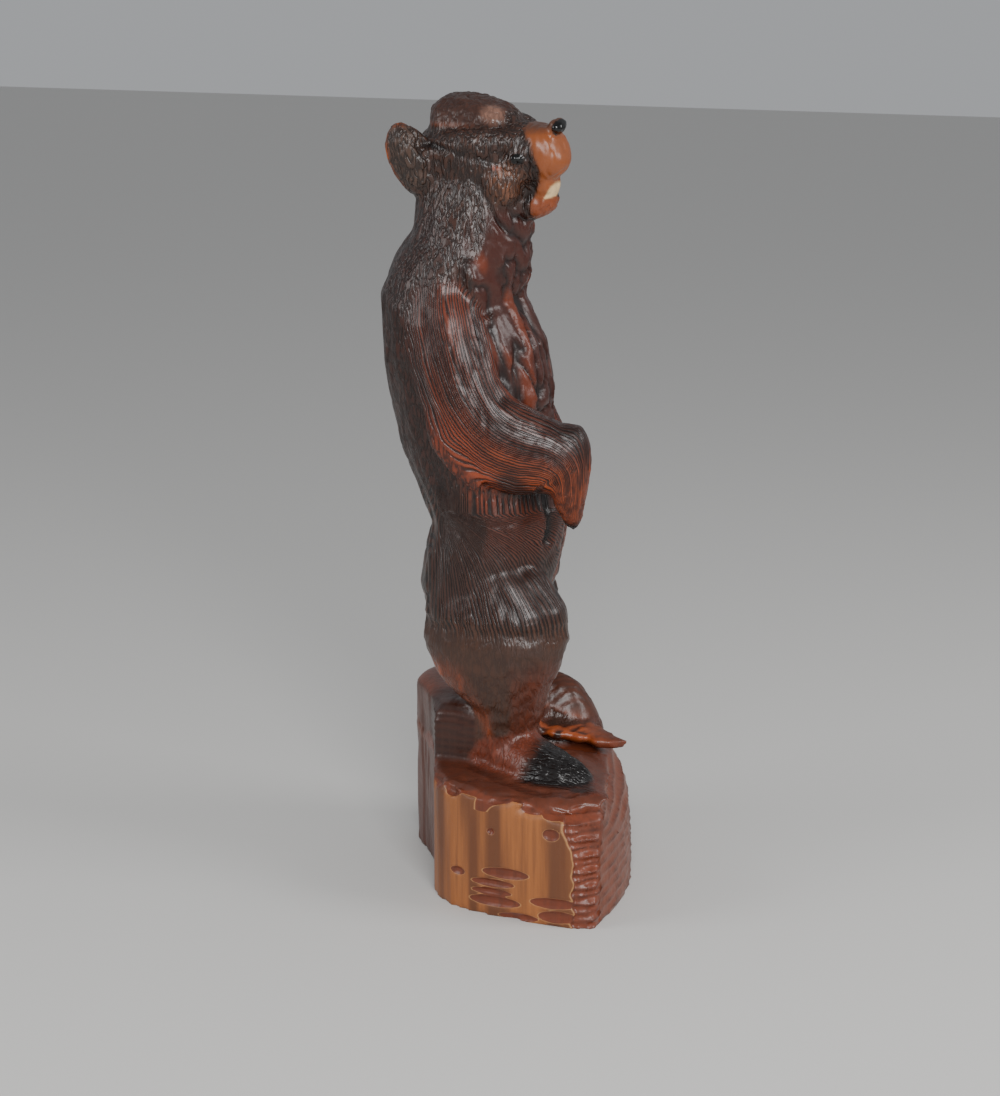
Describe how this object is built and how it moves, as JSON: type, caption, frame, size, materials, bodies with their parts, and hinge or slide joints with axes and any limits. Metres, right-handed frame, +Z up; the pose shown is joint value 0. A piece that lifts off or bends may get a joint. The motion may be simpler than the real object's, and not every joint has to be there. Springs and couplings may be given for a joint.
{
  "type": "chainsaw carved bear",
  "caption": "Wooden bear carved with chainsaw and gouge from one log, standing upright on its hewn log foot, forepaws bent, muzzle raised, fur cut in strokes.",
  "frame": {"origin": "bottom centre of the bounding box, on the surface it stands on", "axes": "+Z up, +X the way the bear faces, -Y its right side, where the log has its flat sawn face"},
  "size_m": [0.3762, 0.359, 1.0866],
  "materials": {
    "carved_wood": "one log, stained dark brown over red-brown wood and varnished glossy; sawn face left golden; nose, eyes and teeth painted"
  },
  "bodies": {
    "root": {"carved_bear": "carved_wood"}
  },
  "joints": []
}
